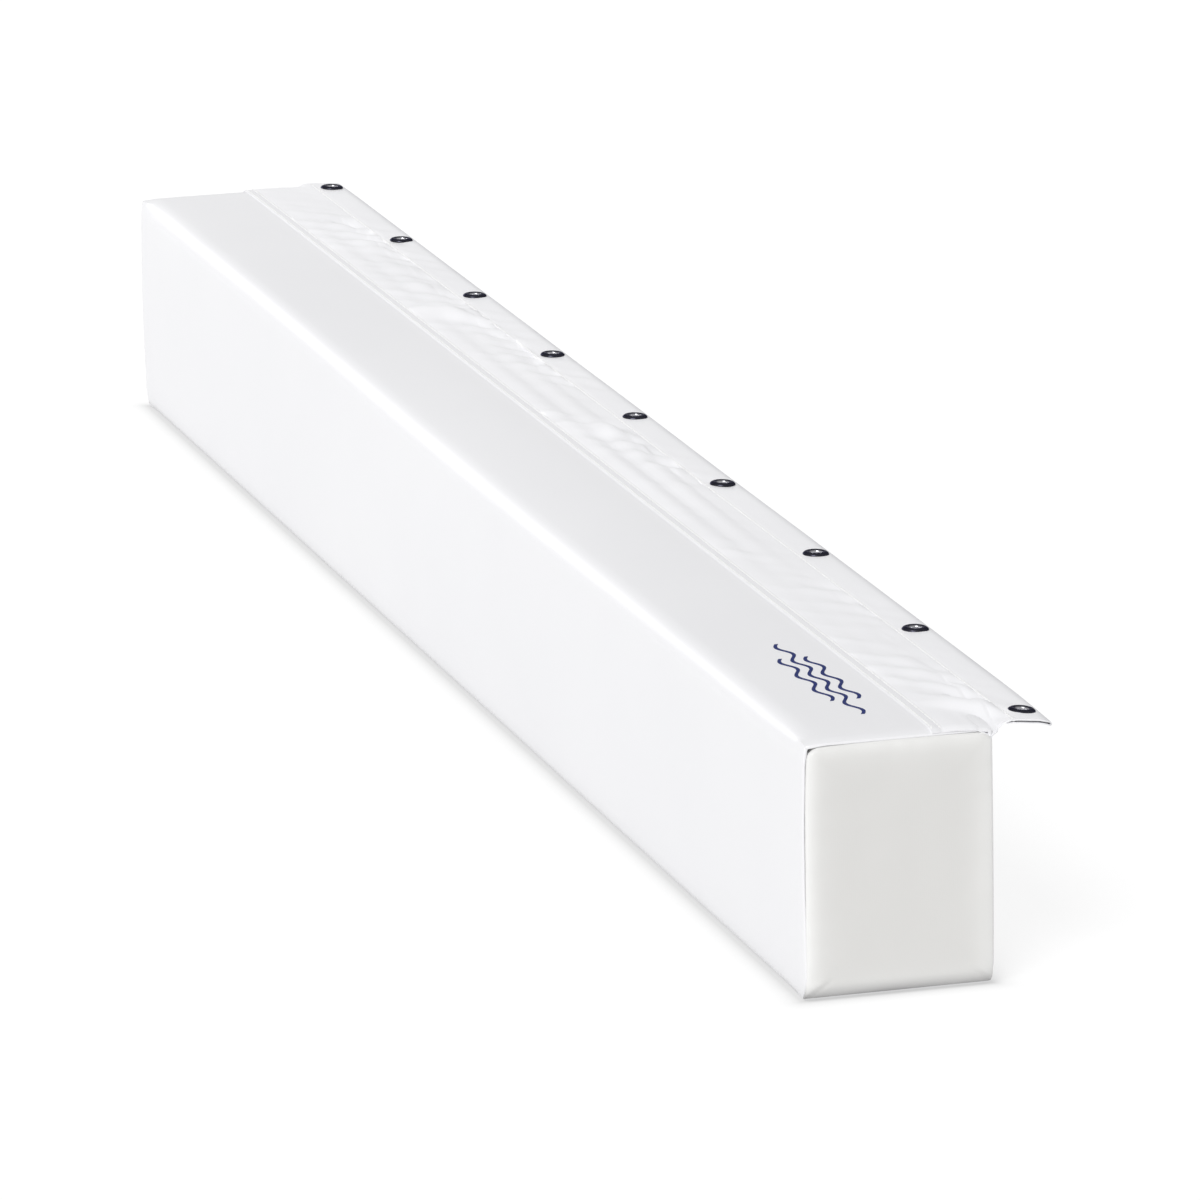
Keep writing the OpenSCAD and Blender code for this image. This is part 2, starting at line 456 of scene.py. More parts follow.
def makeCover():
    obj = blockShell("blockCover", 0, 2 * (endX - block["lip"]))
    for side in (-1, 1):
        turnInEnd(obj, side)
    cleanUp(obj)
    writePoints(obj, fillBlock(readPoints(obj)))
    points = readPoints(obj)
    held = (np.abs(points[:, 0]) > endX - 4 * mm) | (points[:, 1] > innerRowY - 6 * mm)
    swellGently(obj, held | (points[:, 2] < 2 * mm), block["swell"])
    points = readPoints(obj)
    points[:, 2] = np.maximum(points[:, 2], 0)
    writePoints(obj, points)
    thicken(obj, vinyl * 0.9, -1)
    smoothShade(obj)
    return obj


# the foam planks inside

foamPlank = {
    "inset": 2.6 * mm,        # how far inside the cover's outline
    "short": 9 * mm,          # where its chamfered ends start
    "chamfer": 3 * mm,
    "squeeze": 0.985,         # how far the cover squeezes its width
}


def makeFoam(name, low, high):
    flatEnd = endX - foamPlank["short"]
    obj = blockShell(name, foamPlank["inset"], 2 * flatEnd)
    for side in (-1, 1):
        chooseVerts(obj, lambda p: np.abs(p[:, 0] - side * flatEnd) < 0.1 * mm)
        step = (side * foamPlank["chamfer"], 0, 0)
        bpy.ops.mesh.extrude_edges_move(TRANSFORM_OT_translate={"value": step})
        bpy.ops.transform.resize(value=(1, 0.95, 0.965), center_override=(0, middleY, middleZ))
        bpy.ops.mesh.edge_face_add()
    for level, upward in ((low, -1), (high, 1)):
        if 0 < level < topZ:
            bpy.ops.mesh.select_all(action="SELECT")
            bpy.ops.mesh.bisect(plane_co=(0, 0, level), plane_no=(0, 0, upward), use_fill=True,
                                clear_outer=True)
    objectMode()
    cleanUp(obj)
    moved = fillBlock(readPoints(obj), fine=False)
    moved[:, 1] = middleY + (moved[:, 1] - middleY) * foamPlank["squeeze"]
    writePoints(obj, moved)
    smoothShade(obj)
    return obj


# the end panels

endPanel = {
    "inset": 1.9 * mm,        # the seam's distance inside the cover's outline
    "topDrop": 3.3 * mm,      # how much further down the panel's top is sewn
    "bottomDrop": 1.0 * mm,   # how much further down its bottom is
    "seamDepth": 1.0 * mm,    # how far the seam lies behind the end of the cover
    "bottomDepth": 7.5 * mm,  # and how far at the bottom
    "stand": 5.2 * mm,        # how far the panel stands out from its seam
    "roll": 11 * mm,          # width of the rounded border
    "overhang": 1.5 * mm,     # how far the stuffed border swells past its seam
    "hollow": 1.3 * mm,       # the slack in the middle
    "unevenness": 0.8 * mm,
    "dart": 1.3 * mm,         # depth of the folds at the bottom corners
    "dartBank": 0.8 * mm,     # height of the bank beside each
    "dartLength": 22 * mm,
    "gather": 0.3 * mm,       # height of the gathers along the side and top seams
    "corner": 9 * mm,         # how far from its corners the outline starts to round
    "topRoundness": 0.55,
    "bottomRoundness": 0.04,
    "cornerGap": 2.1 * mm,    # the opening at the front top corner
    "columns": 76,
    "rows": 96,
}


def crowdEdges(share, amount=0.6):
    # brings lines of points closer together towards both edges
    return (1 - amount) * share + amount * np.sin(share * np.pi / 2)


def quarterRound(share):
    return np.sqrt(np.clip(1 - (1 - np.clip(share, 0, 1)) ** 2, 0, 1))


def makeEndPanel(name, side):
    halfWidth = width / 2 - endPanel["inset"]
    halfHeight = topZ / 2 - endPanel["inset"]
    obj = addGrid(endPanel["columns"], endPanel["rows"], 2)
    share = readPoints(obj)
    y = crowdEdges(share[:, 0]) * halfWidth
    z = crowdEdges(share[:, 1]) * halfHeight
    # distances from the seam, as shares of the rounded border
    left, right = (halfWidth + y) / endPanel["roll"], (halfWidth - y) / endPanel["roll"]
    top, bottom = (halfHeight - z) / endPanel["roll"], (halfHeight + z) / endPanel["roll"]
    sides = np.minimum(left, right)
    upper = quarterRound(sides) * quarterRound(top)
    # at the bottom the side and bottom borders meet along folds from the corners
    rise = np.clip((z + halfHeight) / (50 * mm), 0, 1)
    lower = np.minimum(quarterRound(sides), quarterRound(bottom))
    border = rise * upper * quarterRound(bottom) + (1 - rise) * lower * quarterRound(top)
    stand = endPanel["stand"] * border
    inside = np.clip(np.minimum(sides, np.minimum(top, bottom)), 0, 1)
    middle = np.cos(np.pi / 2 * y / halfWidth) * np.cos(np.pi / 2 * z / halfHeight)
    drift = bumps(y * 17, z * 15, 4) + 0.4 * bumps(y * 45, z * 38, 9)
    relief = stand - endPanel["hollow"] * np.clip(middle, 0, 1) ** 0.6 * inside
    relief = relief + endPanel["unevenness"] * drift * inside
    # the seam lies deeper at the bottom
    deeper = endPanel["bottomDepth"] - endPanel["seamDepth"]
    depth = endPanel["seamDepth"] + deeper * np.exp(-bottom * 1.5)
    # the side borders swell past the seam
    swellSide = endPanel["overhang"] * np.sin(np.pi * np.clip(sides, 0, 1) ** 0.6)
    swellSide = swellSide * (1 - 0.9 * np.exp(-(halfHeight - z) / (24 * mm)) * (y < 0))
    # folds run in from the bottom corners
    for mirror in (-1, 1):
        dy, dz = mirror * y + halfWidth, z + halfHeight
        along, beside = dy * 0.78 + dz * 0.62, dy * -0.62 + dz * 0.78
        fade = np.clip(1 - along / endPanel["dartLength"], 0, 1) ** 0.7 * np.clip(along / (2 * mm), 0, 1)
        relief = relief - endPanel["dart"] * fade * np.exp(-(beside / (1.2 * mm)) ** 2)
        relief = relief + endPanel["dartBank"] * fade * np.exp(-((beside - 3.4 * mm) / (2.2 * mm)) ** 2)
    # gathers along the side and top seams
    nearSide = np.exp(-sides * 1.3) * np.clip(sides * 4, 0, 1)
    nearTop = np.exp(-top * 1.3) * np.clip(top * 4, 0, 1)
    relief = relief + endPanel["gather"] * nearSide * np.sin(z / (3.6 * mm) + 4 * drift)
    relief = relief + endPanel["gather"] * nearTop * np.sin(y / (4.1 * mm) + 4 * drift)
    # the front top corner is not quite closed
    across, down = y + halfWidth, halfHeight - z
    gap = np.maximum(np.exp(-across / (5 * mm) - down / (24 * mm)),
                     np.exp(-across / (20 * mm) - down / (5 * mm)))
    relief = relief - 1.2 * endPanel["cornerGap"] * gap
    # rounded corners at the top, sharp ones at the bottom
    corner = endPanel["corner"]
    u = np.clip((np.abs(y) - halfWidth + corner) / corner, 0, 1)
    v = np.clip((np.abs(z) - halfHeight + corner) / corner, 0, 1)
    roundness = np.where(z > 0, endPanel["topRoundness"], endPanel["bottomRoundness"])
    newY = np.sign(y) * (np.abs(y) - corner * u * (1 - np.sqrt(1 - roundness * v ** 2)) + swellSide)
    newZ = np.sign(z) * (np.abs(z) - corner * v * (1 - np.sqrt(1 - roundness * u ** 2)))
    newZ = newZ - endPanel["bottomDrop"] * np.clip(-share[:, 1], 0, 1) ** 4
    topDrop = endPanel["topDrop"] * (0.72 + 0.28 * share[:, 0] ** 2)
    newZ = newZ - topDrop * np.clip(share[:, 1], 0, 1) ** 4
    newY = newY + endPanel["cornerGap"] * gap
    x = side * (endX - depth + relief)
    writePoints(obj, np.column_stack([x, middleY + newY, middleZ + newZ]))
    settle(obj, name)
    # the seam allowance, turned inwards
    chooseNone(edgeMode)
    editMode()
    bpy.ops.mesh.select_non_manifold(extend=False)
    for step in (0.8, 2.5, 5.0):
        bpy.ops.mesh.extrude_edges_move(TRANSFORM_OT_translate={"value": (-side * step * mm, 0, 0)})
    objectMode()
    cleanUp(obj)
    faceTowards(obj, Vector((side * endX, middleY, middleZ)), Vector((side, 0, 0)))
    thicken(obj, vinyl * 0.9, -1)
    smoothShade(obj)
    return obj


# the strip and the flap: one sheet, sewn on top of the block and turned under at its outer edge

flap = {
    "columns": 480,
    "innerMargin": 1.5 * mm,  # from the sheet's inner edge to the first row of the seam
    "turnedBack": 4 * mm,     # how far the turned-under edge runs past the hem row
    "growth": 0.03,           # how much longer the sheet is than its rows of stitching
    "bending": 12,
    "firstShake": 0.35 * mm,  # the unevenness that the puckers start from
    "lean": 0.9,              # how far the puckers run askew
    "slack": 2.0 * mm,        # the height of the long bulges
    "hemPucker": 0.35,        # how much of the puckering is left in the doubled hem
    "groove": 0.35 * mm,      # how far each row of stitching sinks in
    "pressedEdge": 0.8 * mm,  # how far the inner edge is pressed down beside the seam
    "wave": 1.5 * mm,         # slow waves of the flap's outer edge
    "edgeRoll": 1.8 * mm,     # how far the outer edge curls down
    "edgeRollWidth": 12 * mm,
    "tipDrop": (0.8 * mm, 2.4 * mm),  # how far the left and the right outer corner hang
    "tipReach": 110 * mm,
    "notch": (1.2 * mm, 2.6 * mm),    # the gathers where the flap leaves the block's corners
    "endTrim": 2 * mm,        # how much shorter than the block the flap is at each end
    "holeRadius": 4.7 * mm,
}


def flapLift(x, y):
    # the slow bending of the whole flap, which its webbing, grommets and thread follow
    out = np.clip((y - crease.y) / (flapHigh.y - crease.y), 0, 1)
    slow = bumps(x * 3.4, 2.5, 8)
    tip = np.clip(1 - (endX - np.abs(x)) / flap["tipReach"], 0, 1) ** 2
    drop = np.where(x < 0, *flap["tipDrop"])
    rise = 0.2 * drop * tip * np.sin(np.pi * np.clip(out * 1.6, 0, 1))
    edge = np.clip((y - flapHigh.y + flap["edgeRollWidth"]) / flap["edgeRollWidth"], 0, 1)
    roll = flap["edgeRoll"] * (1 + 0.5 * slow) * edge ** 2
    return flap["wave"] * slow * out * (1 - tip) - drop * tip * out ** 1.4 + rise - roll


def notchAt(x, y):
    # a gather at each end of the crease, as a fall and a pull away from the end
    fromEnd = endX - np.abs(x)
    place = np.exp(-(fromEnd / (7 * mm)) ** 2) * np.exp(-((y - crease.y) / (2.6 * mm)) ** 2)
    depth = np.where(x < 0, *flap["notch"]) * place
    return -depth, -np.sign(x) * 0.9 * depth


def sheetLines():
    # the distances of the sheet's long lines of points from its inner edge, closer beside the stitching
    innerY = innerRowY - flap["innerMargin"]
    foldY = flapHigh.y - flapStack / 2
    flat = foldY - innerY
    bend = math.pi * (flapStack - vinyl) / 2
    total = flat + bend + foldY - (hemRowY - flap["turnedBack"])
    rows = [row - innerY for row in (innerRowY, outerRowY, hemRowY)]
    rows.append(flat + bend + foldY - hemRowY)
    lines = set(np.round(np.linspace(0, flat, 25), 5))
    lines |= set(np.round(flat + bend * np.linspace(0, 1, 7), 5))
    lines |= {round(crease.y - innerY + step * mm, 5) for step in (-2.5, -1.2, 0, 1.2, 2.5)}
    lines |= set(np.round(np.linspace(flat + bend, total, 11), 5))
    for row in rows:
        lines = {line for line in lines if abs(line - row) > 1.9 * mm}
        lines |= {round(row + step * mm, 5) for step in (-1.5, -0.7, 0, 0.7, 1.5)}
    return np.array(sorted(lines)), flat, bend, innerY


def sheetWidth():
    return float(sheetLines()[0][-1])


def foldSheet(along, flat, bend, innerY):
    # from distances along the cut sheet to places across the block
    radius = (flapStack - vinyl) / 2
    turn = np.clip((along - flat) / bend, 0, 1) * math.pi
    back = np.clip(along - flat - bend, 0, None)
    y = innerY + np.clip(along, 0, flat) + radius * np.sin(turn) - back
    z = stripTop - vinyl / 2 - radius * (1 - np.cos(turn))
    return y, z


def makeFlapSheet():
    lines, flat, bend, innerY = sheetLines()
    obj = addGrid(flap["columns"], len(lines) - 1)
    start = readPoints(obj)
    share = start[:, 0] * 2
    x = (0.85 * share + 0.15 * np.sin(share * np.pi / 2)) * endX
    index = np.round((start[:, 1] + 0.5) * (len(lines) - 1)).astype(int)
    along = lines[index]
    y, z = foldSheet(along, flat, bend, innerY)
    upper = along <= flat
    points = np.column_stack([x, y, z])
    settle(obj, "flapSheet")
    # puckers between the rows of stitching, which are shorter than the sheet that they hold
    rows = (innerRowY, outerRowY, hemRowY)
    held = ~upper | (np.abs(y - hemRowY) < 0.9 * mm) | (y < outerRowY + 0.9 * mm)
    for spot in grommetSpots:
        held |= (x - spot.x) ** 2 + (y - spot.y) ** 2 < (12 * mm) ** 2
    shake = bumps(x * 38, y * 12, 2)
    shaken = points.copy()
    shaken[:, 2] += np.where(held, 0, flap["firstShake"] * shake)
    writePoints(obj, shaken)
    relaxCloth(obj, held, frames=28, stiffness=15, bending=flap["bending"], growth=flap["growth"])
    move = softenAndLean(readPoints(obj) - points, x, y, index)
    inHem = np.clip((y - hemRowY + 2 * mm) / (4 * mm), 0, 1)
    move *= (1 - (1 - flap["hemPucker"]) * inHem)[:, None]
    # few sink into the block, and they come in groups
    overBlock = np.clip((backY - 4 * mm - y) / (8 * mm), 0, 1)
    move[:, 2] = np.where(move[:, 2] < 0, move[:, 2] * (1 - 0.85 * overBlock), move[:, 2])
    uneven = bumps(x * 7 - y * 20, y * 9, 31)
    move *= np.clip(0.8 + 1.6 * uneven, 0.15, 1.5)[:, None]
    # the slack stands up in two long bulges, beside the seam and before the crease
    slow = bumps(x * 2.6, 0.7, 17)
    between = np.clip((y - outerRowY) / (crease.y - outerRowY), 0, 1)
    move[:, 2] += flap["slack"] * np.clip(0.6 + slow, 0.1, 1.2) * np.sin(2 * np.pi * between) ** 2 * upper
    points = points + move
    # down onto the block, with each row sunk in, and out along the flap's slow waves
    base = topHeight(x, np.minimum(y, backY - 10 * mm)) - topZ
    points[:, 2] += base * np.clip((crease.y - y) / (6 * mm), 0, 1)
    for row in rows:
        points[:, 2] -= flap["groove"] * np.exp(-((y - row) / (0.8 * mm)) ** 2) * np.where(upper, 1, -1)
    points[:, 2] -= flap["pressedEdge"] * (along < 0.1 * mm)
    fall, pull = notchAt(x, y)
    points[:, 2] += flapLift(x, y) + fall
    points[:, 0] += pull
    points[:, 0] *= np.where(y > crease.y, (endX - flap["endTrim"]) / endX, 1)
    writePoints(obj, points)
    cleanUp(obj)
    faceTowards(obj, Vector((0, innerRowY, stripTop)), Vector((0, 0, 1)))
    thicken(obj, vinyl * 0.92, 0)
    cutGrommetHoles(obj)
    smoothShade(obj)
    return obj


def softenAndLean(move, x, y, index):
    # evens out the puckers along each line of points, and shifts the lines so that they run askew
    result = np.zeros_like(move)
    window = np.exp(-(np.arange(-4, 5) / 2.2) ** 2)
    window /= window.sum()
    middle = (outerRowY + hemRowY) / 2
    for line in np.unique(index):
        chosen = np.nonzero(index == line)[0]
        chosen = chosen[np.argsort(x[chosen])]
        lineY = y[chosen[0]]
        shift = flap["lean"] * (lineY - middle) if lineY > outerRowY else 0
        for axis in range(3):
            padded = np.pad(move[chosen, axis], 4, mode="edge")
            even = np.convolve(padded, window, mode="valid")
            result[chosen, axis] = np.interp(x[chosen] - shift, x[chosen], even)
    return result


def cutGrommetHoles(obj):
    deselectAll()
    cutters = []
    for spot in grommetSpots:
        radius = flap["holeRadius"]
        bpy.ops.mesh.primitive_cylinder_add(vertices=32, radius=radius, depth=20 * mm, location=spot)
        cutters.append(bpy.context.object)
    cutter = settle(joinPieces(cutters), "holeCutter")
    boolean = obj.modifiers.new("holes", "BOOLEAN")
    boolean.operation, boolean.object, boolean.solver = "DIFFERENCE", cutter, "EXACT"
    applyModifiers(obj)
    bpy.data.objects.remove(cutter)


# webbing in the hem

hemTape = {
    "short": 12 * mm,         # how far inside the hem it stops at each end
    "selvage": 1.5 * mm,      # how much narrower it is than the hem's room for it
    "thickness": 0.5 * mm,
    "columns": 360,
    "rows": 8,
}
tapeSize = (webHigh.y - webLow.y - hemTape["selvage"], webHigh.x - webLow.x - 2 * hemTape["short"])


def makeWebbing():
    obj = addGrid(hemTape["columns"], hemTape["rows"])
    start = readPoints(obj)
    x = start[:, 0] * tapeSize[1]
    y = (webLow.y + webHigh.y) / 2 + start[:, 1] * tapeSize[0]
    z = (webLow.z + webHigh.z) / 2 + flapLift(x, y)
    settle(obj, "hemWebbing")
    writePoints(obj, np.column_stack([x, y, z]))
    thicken(obj, hemTape["thickness"], 0)
    cutGrommetHoles(obj)
    smoothShade(obj)
    return obj


# grommets: a rolled eyelet on top and a washer below

# outlines as (radius, height) in millimetres; height 0 is the vinyl's upper face
eyeletOutline = [
    (4.0, -4.3), (4.0, -0.4), (4.12, 0.5), (4.5, 1.15), (5.15, 1.6), (6.0, 1.8), (6.9, 1.78), (7.8, 1.52),
    (8.6, 1.0), (9.1, 0.4), (9.25, 0.0), (9.15, -0.25), (8.9, -0.32), (5.6, -0.28), (5.1, -0.5),
    (5.0, -1.0), (5.0, -4.05), (5.35, -4.2), (6.1, -4.22), (6.45, -4.42), (6.4, -4.68), (6.0, -4.82),
    (5.2, -4.86), (4.5, -4.72),
]
washerOutline = [
    (5.12, -3.2), (5.12, -4.1), (6.2, -4.2), (7.6, -4.15), (8.7, -3.95), (9.2, -3.6), (9.25, -3.3),
    (9.1, -3.15), (8.4, -3.2),
]


def seatOnFlap(obj, spot):
    # tilts a piece made at the origin to the flap's slope and moves it onto the flap
    step = 6 * mm
    xs = np.array([spot.x - step, spot.x + step, spot.x, spot.x, spot.x])
    ys = np.array([spot.y, spot.y, spot.y - step, spot.y + step, spot.y])
    left, right, inner, outer, here = flapLift(xs, ys)
    slopeX, slopeY = (right - left) / (2 * step), (outer - inner) / (2 * step)
    normal = Vector((-slopeX, -slopeY, 1)).normalized()
    tilt = Vector((0, 0, 1)).rotation_difference(normal).to_matrix().to_4x4()
    obj.data.transform(Matrix.Translation((spot.x, spot.y, stripTop + here)) @ tilt)


def markThroat(obj):
    # the barrel's bright inside, as a value on each point
    x, y = readPoints(obj)[:, :2].T
    bright = np.clip((4.6 * mm - np.hypot(x, y)) / (0.3 * mm), 0, 1)
    attribute = obj.data.attributes.new("throat", "FLOAT", "POINT")
    attribute.data.foreach_set("value", bright.astype(np.float32))


def makeGrommets():
    # one of each is modelled and copied to every hole
    eyelet = spinOutline("eyelet", eyeletOutline, 48)
    washer = spinOutline("washer", washerOutline, 48)
    for piece in (eyelet, washer):
        smoothShade(piece, 60)
        markThroat(piece)
    made = []
    for i, spot in enumerate(grommetSpots):
        pair = (copyPiece(eyelet, f"eyelet{i + 1}"), copyPiece(washer, f"eyeletWasher{i + 1}"))
        for piece in pair:
            seatOnFlap(piece, spot)
        made.append(pair)
    bpy.data.objects.remove(eyelet)
    bpy.data.objects.remove(washer)
    return made


# stitching: one stitch is modelled and laid many times along each row

stitch = {
    "pitch": 4.6 * mm,
    "length": 4.5 * mm,
    "radius": 0.74 * mm,
    "endMargin": 3 * mm,      # how far from the sheet's ends the rows stop
}


def modelStitch():
    # a short thread that dives into the vinyl at both ends
    deselectAll()
    bpy.ops.mesh.primitive_cylinder_add(vertices=6, radius=1, depth=2, rotation=(0, math.pi / 2, 0))
    obj = settle(bpy.context.object, "stitch")
    chooseEdges(obj, lambda a, b: np.abs(a[:, 0] - b[:, 0]) > 1)
    bpy.ops.mesh.subdivide(number_cuts=5)
    objectMode()
    points = readPoints(obj)
    share = points[:, 0]
    taper = 1 - 0.45 * np.abs(share) ** 3
    height = 0.55 * (1 - np.abs(share) ** 2.6) - 0.35
    points[:, 0] = share * stitch["length"] / 2
    points[:, 1] *= stitch["radius"] * taper
    points[:, 2] = points[:, 2] * stitch["radius"] * 0.85 * taper + height * 1.5 * stitch["radius"]
    writePoints(obj, points)
    smoothShade(obj, 70)
    return obj


def layStitches(name, surface, rowY, side):
    # side is 1 on top of the sheet and -1 underneath
    pattern = modelStitch()
    local = readPoints(pattern)
    faces = [list(face.vertices) for face in pattern.data.polygons]
    bpy.data.objects.remove(pattern)
    count = int(2 * (endX - stitch["endMargin"]) / stitch["pitch"])
    allPoints, allFaces = [], []
    for k in range(count):
        x = (k - (count - 1) / 2) * stitch["pitch"]
        start = Vector((x, rowY, topZ + side * 40 * mm))
        place, normal, _, _ = surface.ray_cast(start, Vector((0, 0, -side)))
        sway = 0.05 * mm * math.sin(k * 2.39) + 0.08 * mm * math.sin(k * 0.37)
        forward = Vector((1, 0.02 * math.sin(k * 1.7), 0))
        forward = (forward - normal * forward.dot(normal)).normalized()
        turn = Matrix((forward, normal.cross(forward), normal)).transposed()
        moved = local @ np.array(turn).T + np.array(place) + np.array([0, sway, 0])
        first = len(allPoints) * len(local)
        allFaces += [[first + i for i in face] for face in faces]
        allPoints.append(moved)
    mesh = bpy.data.meshes.new(name)
    mesh.from_pydata(np.concatenate(allPoints).tolist(), [], allFaces)
    obj = bpy.data.objects.new(name, mesh)
    bpy.context.collection.objects.link(obj)
    smoothShade(obj, 70)
    return obj


# the printed waves on the top

printedWaves = {
    "waves": 5,               # in the middle line; the others are one shorter at each end
    "swing": 3 * mm,
    "spacing": 9 * mm,
    "stroke": 2.6 * mm,
    "thickness": 0.2 * mm,
}


def makePrint(surface):
    length = printHigh.x - printLow.x
    middle = (printLow + printHigh) / 2
    parts = []
    for row in (-1, 0, 1):
        obj = addGrid(260, 3)
        start = readPoints(obj)
        reach = length * (1 - abs(row) * 2 / printedWaves["waves"])
        turns = printedWaves["waves"] * start[:, 0] * reach / length
        swing = printedWaves["swing"] * np.sin(2 * np.pi * turns)
        x = middle.x + start[:, 0] * reach
        y = middle.y + row * printedWaves["spacing"] + swing + start[:, 1] * printedWaves["stroke"]
        z = np.array([heightAt(surface, a, b) for a, b in zip(x, y)]) + 0.6 * printedWaves["thickness"]
        writePoints(obj, np.column_stack([x, y, z]))
        parts.append(obj)
    obj = settle(joinPieces(parts), "wavePrint")
    thicken(obj, printedWaves["thickness"], 0)
    smoothShade(obj)
    return obj


# materials

class Wire:
    # an output socket; arithmetic on it adds Math nodes
    def __init__(self, paint, socket):
        self.paint, self.socket = paint, socket

    def __add__(self, other):
        return self.paint.calc("ADD", self, other)

    def __radd__(self, other):
        return self.paint.calc("ADD", other, self)

    def __sub__(self, other):
        return self.paint.calc("SUBTRACT", self, other)

    def __rsub__(self, other):
        return self.paint.calc("SUBTRACT", other, self)

    def __mul__(self, other):
        return self.paint.calc("MULTIPLY", self, other)

    def __rmul__(self, other):
        return self.paint.calc("MULTIPLY", other, self)

    def __pow__(self, other):
        return self.paint.calc("POWER", self, other)


class Paint:
    # a material with one Principled shader
    def __init__(self, name, **shader):
        self.material = bpy.data.materials.new(name)
        self.material.use_nodes = True
        self.tree = self.material.node_tree
        self.shader = self.tree.nodes["Principled BSDF"]
        for socket, value in shader.items():
            self.set(socket.replace("_", " "), value)
        self.place = self.add("ShaderNodeTexCoord", {}, {}, "Object")

    def set(self, socket, value):
        if isinstance(value, Wire):
            self.tree.links.new(value.socket, self.shader.inputs[socket])
        else:
            self.shader.inputs[socket].default_value = value

    def add(self, kind, settings, inputs, output):
        node = self.tree.nodes.new(kind)
        for key, value in settings.items():
            setattr(node, key, value)
        for key, value in inputs.items():
            if isinstance(value, Wire):
                self.tree.links.new(value.socket, node.inputs[key])
            else:
                node.inputs[key].default_value = value
        return Wire(self, node.outputs[output])

    def calc(self, operation, first, second):
        return self.add("ShaderNodeMath", {"operation": operation}, {0: first, 1: second}, "Value")

    def noise(self, scale, detail=2.0):
        inputs = {"Vector": self.place, "Scale": scale, "Detail": detail}
        return self.add("ShaderNodeTexNoise", {}, inputs, "Fac")

    def cells(self, scale, feature="SMOOTH_F1"):
        inputs = {"Vector": self.place, "Scale": scale}
        return self.add("ShaderNodeTexVoronoi", {"feature": feature}, inputs, "Distance")

    def axis(self, name):
        return self.add("ShaderNodeSeparateXYZ", {}, {0: self.place}, name)

    def distance(self, axis, place):
        # how far a point is from a place, along one axis
        return self.calc("ABSOLUTE", self.axis(axis) - place, 0.0)

    def wave(self, value, period):
        # a sine of a length in metres, from 0 to 1
        return self.calc("SINE", value * (2 * math.pi / period), 0.0) * 0.5 + 0.5

    def blend(self, amount, first, second):
        # 0, 6, 7 and 2 are the mix node's colour sockets
        return self.add("ShaderNodeMix", {"data_type": "RGBA"}, {0: amount, 6: first, 7: second}, 2)

    def twoTone(self, amount, finish):
        self.set("Base Color", self.blend(amount, finish["shade"], finish["light"]))

    def relief(self, height, distance, strength):
        inputs = {"Height": height, "Distance": distance, "Strength": strength}
        self.set("Normal", self.add("ShaderNodeBump", {}, inputs, "Normal"))


def colour(red, green, blue):
    return (red, green, blue, 1)


finishes = {
    "cover": {"light": colour(0.86, 0.86, 0.875), "shade": colour(0.83, 0.83, 0.85), "roughness": 0.42},
    "strip": {
        "light": colour(0.93, 0.93, 0.95),
        "shade": colour(0.87, 0.87, 0.89),
        "roughness": 0.40,
        # painted highlight: a paler ring of vinyl round each grommet
        "ring": colour(0.95, 0.95, 0.96),     # round each grommet
        # painted shade in the seam's groove
        "seam": colour(0.79, 0.79, 0.81),     # between and beside the seam's rows
        # painted shade towards the outer edge, where it curls down
        "paintedEdgeShade": colour(0.62, 0.62, 0.64),     # along the outer edge
        "edgeShadeWidth": 9 * mm,
    },
    # the end vinyl is painted greyer than the cover's, as painted shade for the less light on the ends
    "end": {
        "light": colour(0.70, 0.695, 0.68),
        "shade": colour(0.67, 0.665, 0.65),
        "roughness": 0.5,
        # painted light on the rounded border
        "border": colour(0.86, 0.86, 0.85),
        # painted shadow along the bottom
        "paintedBottomShadow": colour(0.24, 0.235, 0.24),   # along the bottom
        "bottomShadowHeight": 15 * mm,
    },
    "thread": {"light": colour(0.99, 0.99, 0.985), "shade": colour(0.93, 0.93, 0.93)},
    "foam": {"light": colour(0.90, 0.90, 0.88), "shade": colour(0.80, 0.80, 0.77)},
    "webbing": {"light": colour(0.88, 0.87, 0.83), "shade": colour(0.72, 0.71, 0.67)},
    "metal": {
        "light": colour(0.060, 0.060, 0.078),
        "shade": colour(0.030, 0.030, 0.042),
        "throat": colour(0.70, 0.70, 0.73),
        "rim": colour(0.42, 0.42, 0.46),      # how strongly it reflects at a flat angle
    },
    "print": {"light": colour(0.008, 0.024, 0.16), "shade": colour(0.004, 0.014, 0.11)},
    "floor": {
        "light": colour(0.25, 0.25, 0.25),
        "shade": colour(0.24, 0.24, 0.24),
        "glow": 0.8,
        # painted contact shadow on the floor
        "closeShade": 0.3,                    # how much of the glow is lost right beside the block
        "wideShade": 0.05,
    },
}


def vinylPaint(name, finish):
    # coated fabric: fine pebbled grain over the faint ribs of the woven base
    paint = Paint(name, Specular_IOR_Level=0.45)
    tone = paint.noise(5, 3)
    base = paint.blend(tone, finish["light"], finish["shade"])
    paint.set("Base Color", base)
    grain = paint.cells(1150) * 0.5 + paint.noise(620, 3) * 0.5
    ribs = sum(paint.wave(paint.axis(axis), 1.3 * mm) for axis in "XYZ")
    slack = paint.noise(26, 2)
    paint.set("Roughness", finish["roughness"] + (tone - 0.5) * 0.12 + (grain - 0.4) * 0.1)
    paint.relief(grain * 0.7 + ribs * 0.12 + slack * 3, 0.06 * mm, 0.8)
    return paint, base


def coverPaint():
    return vinylPaint("whiteVinyl", finishes["cover"])[0].material


